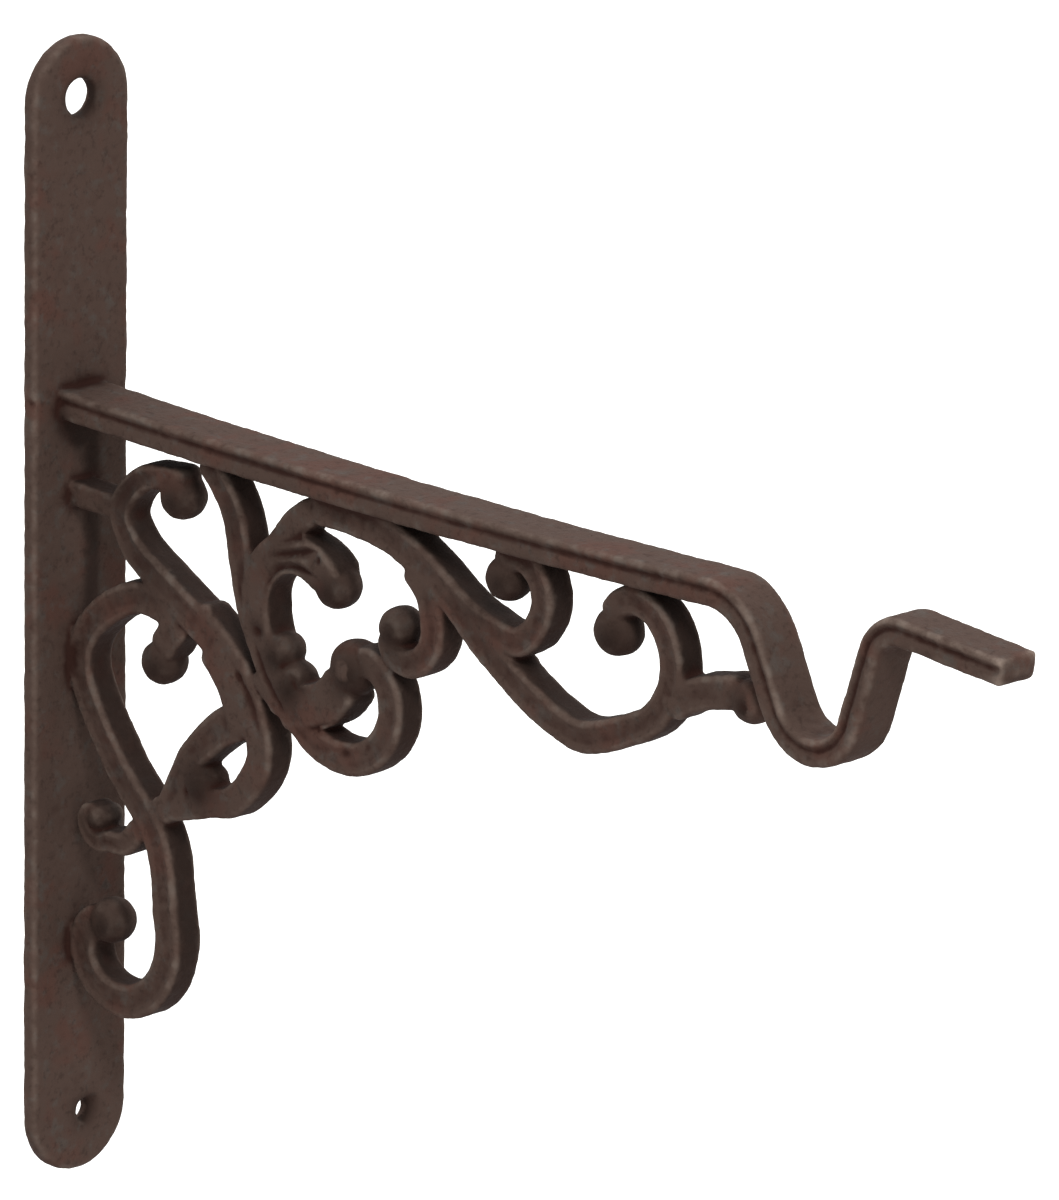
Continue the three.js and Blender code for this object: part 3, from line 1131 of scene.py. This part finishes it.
@dataclass
class Casting:
    """The whole bracket: its sub-parts run together as poured iron, with a sand-cast skin."""

    strip: WallStrip
    arm: ArmAndHook
    scrollwork: Scrollwork
    finish: RustedCastIron
    cell: float = 0.52
    soften_rounds: int = 4
    soften_share: float = 0.5
    swell: float = 0.15
    # The relief starts where a face has turned this far to the side, and is whole a little further on.
    face_start: float = 0.5
    face_rise: float = 0.4
    arm_from_leaf: float = 0.8
    lump_size: float = 7.0
    lump_height: float = 0.2
    lump_sink: float = 0.2
    pimple_size: float = 2.0
    pimple_height: float = 0.12
    pimple_shift: float = 40.0
    # How dark the strip's painted shade and hole rims get, and how fast they fade in millimetres.
    corner_strength: float = 0.8
    corner_reach: float = 1.6
    # A painted shadow: the dark band that the scrolls cast down the strip's front, with a flat middle and
    # quick sides.
    shadow_band_shift: float = 3.4
    shadow_band_width: float = 2.8
    shadow_band_span: tuple[float, float] = (-6.0, 52.0)
    shadow_band_power: int = 4
    # The strip's darkening starts at this share of its thickness and is gone at that many thicknesses.
    front_start: float = 0.4
    front_end: float = 2.0
    hook_rubbing: float = 0.6
    # A point's bulge is how far it stands out of the mean of the skin around it, in millimetres.
    bulge_rounds: int = 10
    blur_rounds: int = 2
    edge_bulge: float = 0.45
    edge_start: float = 0.35
    hollow_bulge: float = 0.16
    hollow_start: float = 0.1
    hollow_most: float = 0.9
    most_triangles: int = 186000

    def build(self) -> bpy.types.Object:
        """Pours the casting: one closed skin round all the sub-parts.

        Returns:
            The finished piece.
        """
        pieces = [self.strip.build(), self.arm.build(), self.scrollwork.build()]
        with bpy.context.temp_override(active_object=pieces[0], selected_editable_objects=pieces):
            bpy.ops.object.join()
        casting = pieces[0]
        casting.name = "weathered_casting"
        casting.data.name = casting.name
        flow = casting.modifiers.new("pour", "REMESH")
        flow.mode = "VOXEL"
        flow.voxel_size = self.cell * MM
        settled(casting)
        self.shape(casting.data)
        casting.data.calc_loop_triangles()
        thin = casting.modifiers.new("thin", "DECIMATE")
        thin.ratio = self.most_triangles / len(casting.data.loop_triangles)
        settled(casting)
        self.keep_inside(casting.data)
        casting.data.shade_smooth()
        casting.data.materials.clear()
        casting.data.materials.append(self.finish.material())
        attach(casting, "root")
        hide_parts("cast_bracket")
        return casting

    def shape(self, mesh: bpy.types.Mesh) -> None:
        """Softens the edges, cuts the grooves and dents, roughens the skin and notes its wear and painted
        shade.

        Args:
            mesh: the casting's mesh.
        """
        points = np.empty(len(mesh.vertices) * 3)
        mesh.vertices.foreach_get("co", points)
        points = points.reshape(-1, 3) / MM
        pairs = np.empty(len(mesh.edges) * 2, dtype=np.int64)
        mesh.edges.foreach_get("vertices", pairs)
        pairs = pairs.reshape(-1, 2)
        for _ in range(self.soften_rounds):
            points += self.soften_share * (self.neighbour_mean(points, pairs) - points)
        normals = self.normals(mesh, points)
        points -= normals * self.relief(points, normals)[:, None]
        normals = self.normals(mesh, points)
        points += normals * (self.swell + self.sand_skin(points))[:, None]
        self.note_wear_and_painted_shade(mesh, points, pairs)
        mesh.vertices.foreach_set("co", (points * MM).ravel())
        mesh.update()

    @staticmethod
    def keep_inside(mesh: bpy.types.Mesh) -> None:
        """Holds every point inside the box of the solids.

        Args:
            mesh: the casting's mesh.
        """
        points = np.empty(len(mesh.vertices) * 3)
        mesh.vertices.foreach_get("co", points)
        low, high = (np.array(corner) for corner in cad_box)
        mesh.vertices.foreach_set("co", np.clip(points.reshape(-1, 3), low, high).ravel())
        mesh.update()

    @staticmethod
    def neighbour_mean(values: np.ndarray, pairs: np.ndarray) -> np.ndarray:
        """Averages each point's neighbours.

        Args:
            values: one row for each point.
            pairs: the edges, as two point numbers each.

        Returns:
            The averages.
        """
        count = len(values)
        near = np.bincount(pairs.ravel(), minlength=count)
        total = np.stack(
            [
                np.bincount(pairs[:, 0], values[pairs[:, 1], column], count)
                + np.bincount(pairs[:, 1], values[pairs[:, 0], column], count)
                for column in range(values.shape[1])
            ],
            axis=1,
        )
        return total / near[:, None]

    @staticmethod
    def normals(mesh: bpy.types.Mesh, points: np.ndarray) -> np.ndarray:
        """Gives the outward direction at each point.

        Args:
            mesh: the mesh whose faces are used.
            points: the points' present places.

        Returns:
            Unit vectors.
        """
        mesh.vertices.foreach_set("co", (points * MM).ravel())
        mesh.update()
        directions = np.empty(len(points) * 3)
        mesh.vertex_normals.foreach_get("vector", directions)
        return directions.reshape(-1, 3)

    def relief(self, points: np.ndarray, normals: np.ndarray) -> np.ndarray:
        """Works out how deep the grooves and dents lie at each point of the two faces.

        Args:
            points: the skin's points.
            normals: its outward directions.

        Returns:
            Depths.
        """
        work = self.scrollwork
        facing = np.clip((np.abs(normals[:, 1]) - self.face_start) / self.face_rise, 0, 1)
        on_arm = np.abs(points[:, 1]) > work.leaf_depth / 2 + self.arm_from_leaf
        channels, veins = np.zeros(len(points)), np.zeros(len(points))
        for groove in work.grooves():
            kept = channels if groove.cut is Cut.CHANNEL else veins
            np.maximum(kept, groove.cut_into(points), out=kept)
        flat = points[:, [0, 2]]
        for eye in work.eyes.values():
            away = np.hypot(*(flat - work.at(eye.out, eye.down)).T) / (eye.size * work.eye_radius)
            channels *= np.clip((away - work.channel_start) / work.channel_rise, 0, 1)
        dents = np.zeros(len(points))
        for dent in work.dents:
            away = np.hypot(*(flat - work.at(dent.out, dent.down)).T) / dent.radius
            dents += dent.depth * np.exp(-(away**2))
        on_scrolls = (np.maximum(channels, veins) + dents) * (points[:, 0] > self.strip.thickness)
        return facing * np.where(on_arm, self.arm.groove().cut_into(points), on_scrolls)

    def sand_skin(self, points: np.ndarray) -> np.ndarray:
        """Works out the lumps and pimples that the mould leaves.

        Args:
            points: the skin's points.

        Returns:
            Heights, mostly inward.
        """
        heights = []
        for point in points:
            lump = noise.noise(Vector(point / self.lump_size))
            pimple = noise.noise(Vector(point / self.pimple_size + self.pimple_shift))
            heights.append(self.lump_height * (lump - self.lump_sink) + self.pimple_height * pimple)
        return np.array(heights)

    def strip_dark_rims_and_painted_shade(self, points: np.ndarray) -> np.ndarray:
        """Works out the darkening of the strip: dark rims round its holes, painted shade round the arm's
        root, and the painted shadow that the scrolls cast beside them.

        Args:
            points: the skin's points.

        Returns:
            Shares from 0 to 1.
        """
        strip = self.strip
        height = strip.height / 2 - strip.hole_inset
        # Dark rims round the two holes, and painted shade round the arm's root.
        spots = (
            (0.0, height, strip.top_hole / 2),
            (strip.bottom_hole_shift, -height, strip.bottom_hole / 2),
            (0.0, self.arm.underside, self.arm.width / 2),
        )
        dark_marks_and_painted_shade = np.zeros(len(points))
        for side, up, radius in spots:
            away = np.hypot(points[:, 1] - side, points[:, 2] - up) - radius
            near = np.exp(-np.clip(away, 0, None) / self.corner_reach)
            dark_marks_and_painted_shade = np.maximum(dark_marks_and_painted_shade, self.corner_strength * near)
        # The painted shadow of the scrolls down the strip's front.
        out, side, up = points.T
        low, high = self.shadow_band_span
        beside = np.exp(-(((side - self.shadow_band_shift) / self.shadow_band_width) ** self.shadow_band_power))
        ends = np.clip((up - low) / self.shadow_band_width, 0, 1) * np.clip((high - up) / self.shadow_band_width, 0, 1)
        dark_marks_and_painted_shade = np.maximum(dark_marks_and_painted_shade, self.corner_strength * beside * ends)
        fade = np.clip(self.front_end - out / strip.thickness, 0, 1)
        return dark_marks_and_painted_shade * fade * (out > strip.thickness * self.front_start)

    def rubbing(self, points: np.ndarray) -> np.ndarray:
        """Works out how much more the edges are rubbed towards the end of the hook."""
        out = (points[:, 0] - self.arm.hook_start) / self.arm.hook_span
        return 1 + self.hook_rubbing * np.clip(out, 0, 1)

    def note_wear_and_painted_shade(self, mesh: bpy.types.Mesh, points: np.ndarray, pairs: np.ndarray) -> None:
        """Notes for the finish how sharp an edge each point lies on, and the shade painted on it: in hollows,
        on faces turned down, on the scrolls and on the strip beside them, with dark rims round the holes.

        Args:
            mesh: the casting's mesh.
            points: its points.
            pairs: its edges.
        """
        normals = self.normals(mesh, points)
        wide = points.copy()
        for _ in range(self.bulge_rounds):
            wide = self.neighbour_mean(wide, pairs)
        bulge = np.einsum("ij,ij->i", points - wide, normals)[:, None]
        for _ in range(self.blur_rounds):
            bulge = self.neighbour_mean(bulge, pairs)
        edge = np.clip(bulge / self.edge_bulge - self.edge_start, 0, 1)
        notes = {
            Paint.EDGE: edge * self.rubbing(points)[:, None],
            # Painted shade in hollows.
            Paint.SHADED_HOLLOW: np.clip(-bulge / self.hollow_bulge - self.hollow_start, 0, self.hollow_most),
            # Painted shade on faces turned down.
            Paint.SHADED_UNDERSIDE: np.clip(-normals[:, 2], 0, 1),
            # Painted shade on the scrolls and the strip, with dark rims round the strip's holes.
            Paint.SHADE_AND_DARK_MARKS: np.maximum(self.scrollwork.dark_marks_and_painted_shade(points, normals), self.strip_dark_rims_and_painted_shade(points)),
        }
        for layer, values in notes.items():
            made = mesh.attributes.new(layer.value, "FLOAT", "POINT")
            made.data.foreach_set("value", values.ravel())


# The studio


@dataclass(frozen=True)
class SoftLight:
    """One large soft light: where it hangs, how wide it is, how strong, and where it points."""

    name: str
    place: tuple[float, float, float]
    size: float
    watts: float
    target: tuple[float, float, float] = (0.0, 0.0, 0.0)

    def build(self) -> None:
        """Hangs the light and aims it."""
        lamp = bpy.data.lights.new(self.name, "AREA")
        lamp.shape = "DISK"
        lamp.size = self.size
        lamp.energy = self.watts
        hung = bpy.data.objects.new(self.name, lamp)
        hung.location = self.place
        aim = Vector(self.target) - Vector(self.place)
        hung.rotation_euler = aim.to_track_quat("-Z", "Y").to_euler()
        bpy.context.collection.objects.link(hung)


@dataclass
class Studio:
    """A plain pale floor well below the bracket, pale surroundings and soft lights. Metres."""

    floor_height: float = -0.42
    floor_size: float = 14.0
    air: str = "#ffffff"
    air_strength: float = 0.98
    paper: MattPaper = MattPaper()
    lights: tuple[SoftLight, ...] = (
        SoftLight("overhead_light", (1.2, -0.8, 1.35), 0.5, 25),
        SoftLight("backdrop_light", (-1.1, 1.3, 1.9), 2.6, 75, (-1.1, 1.3, 0.0)),
    )

    def build(self) -> None:
        """Lays the floor, lights the air and hangs the lights."""
        half = self.floor_size / 2
        mesh = bpy.data.meshes.new("floor")
        corners = [(-half, -half), (half, -half), (half, half), (-half, half)]
        mesh.from_pydata([(x, y, self.floor_height) for x, y in corners], [], [[0, 1, 2, 3]])
        mesh.materials.append(self.paper.material())
        floor = bpy.data.objects.new("floor", mesh)
        bpy.context.collection.objects.link(floor)
        world = bpy.data.worlds.new("pale_air")
        world.use_nodes = True
        air = world.node_tree.nodes["Background"]
        air.inputs["Color"].default_value = linear(self.air)
        air.inputs["Strength"].default_value = self.air_strength
        bpy.context.scene.world = world
        bpy.context.scene.view_settings.view_transform = "Standard"
        for light in self.lights:
            light.build()


@dataclass
class PhotoCamera:
    """The camera, at the photograph's viewing angle and distance. Metres and degrees."""

    target: tuple[float, float, float] = (0.1595, 0.0, 0.0377)
    azimuth_deg: float = 45.2
    elevation_deg: float = 16.7
    roll_deg: float = 0.9
    distance: float = 2.32
    lens_mm: float = 297.6
    film_mm: float = 36.0

    def build(self) -> None:
        """Sets the camera up."""
        turn, lift, roll = (math.radians(v) for v in (self.azimuth_deg, self.elevation_deg, self.roll_deg))
        back = Vector((math.cos(turn) * math.cos(lift), -math.sin(turn) * math.cos(lift), math.sin(lift)))
        right = Vector((math.sin(turn), math.cos(turn), 0))
        up = back.cross(right)
        tilted_right = math.cos(roll) * right + math.sin(roll) * up
        tilted_up = back.cross(tilted_right)
        lens = bpy.data.cameras.new("camera")
        lens.lens = self.lens_mm
        lens.sensor_width = self.film_mm
        camera = bpy.data.objects.new("camera", lens)
        axes = Matrix((tilted_right, tilted_up, back)).transposed().to_4x4()
        camera.matrix_world = Matrix.Translation(Vector(self.target) + back * self.distance) @ axes
        bpy.context.collection.objects.link(camera)
        bpy.context.scene.camera = camera


def main() -> None:
    """Builds the camera, the studio and the casting."""
    logging.basicConfig(level=logging.INFO, format="%(name)s: %(message)s")
    PhotoCamera().build()
    log.info("camera placed")
    Studio().build()
    log.info("studio lit")
    # The strip is as wide and as tall as the whole casting. Rounding takes off what single precision adds.
    _, width, height = (round((high - low) / MM, 2) for low, high in zip(*cad_box))
    strip = WallStrip(height, width)
    arm = ArmAndHook(root=strip.thickness / 2)
    scrollwork = Scrollwork(start=strip.thickness, top=arm.underside)
    casting = Casting(strip, arm, scrollwork, RustedCastIron()).build()
    log.info("%s: %d points, %d faces", casting.name, len(casting.data.vertices), len(casting.data.polygons))


if __name__ == "__main__":
    main()
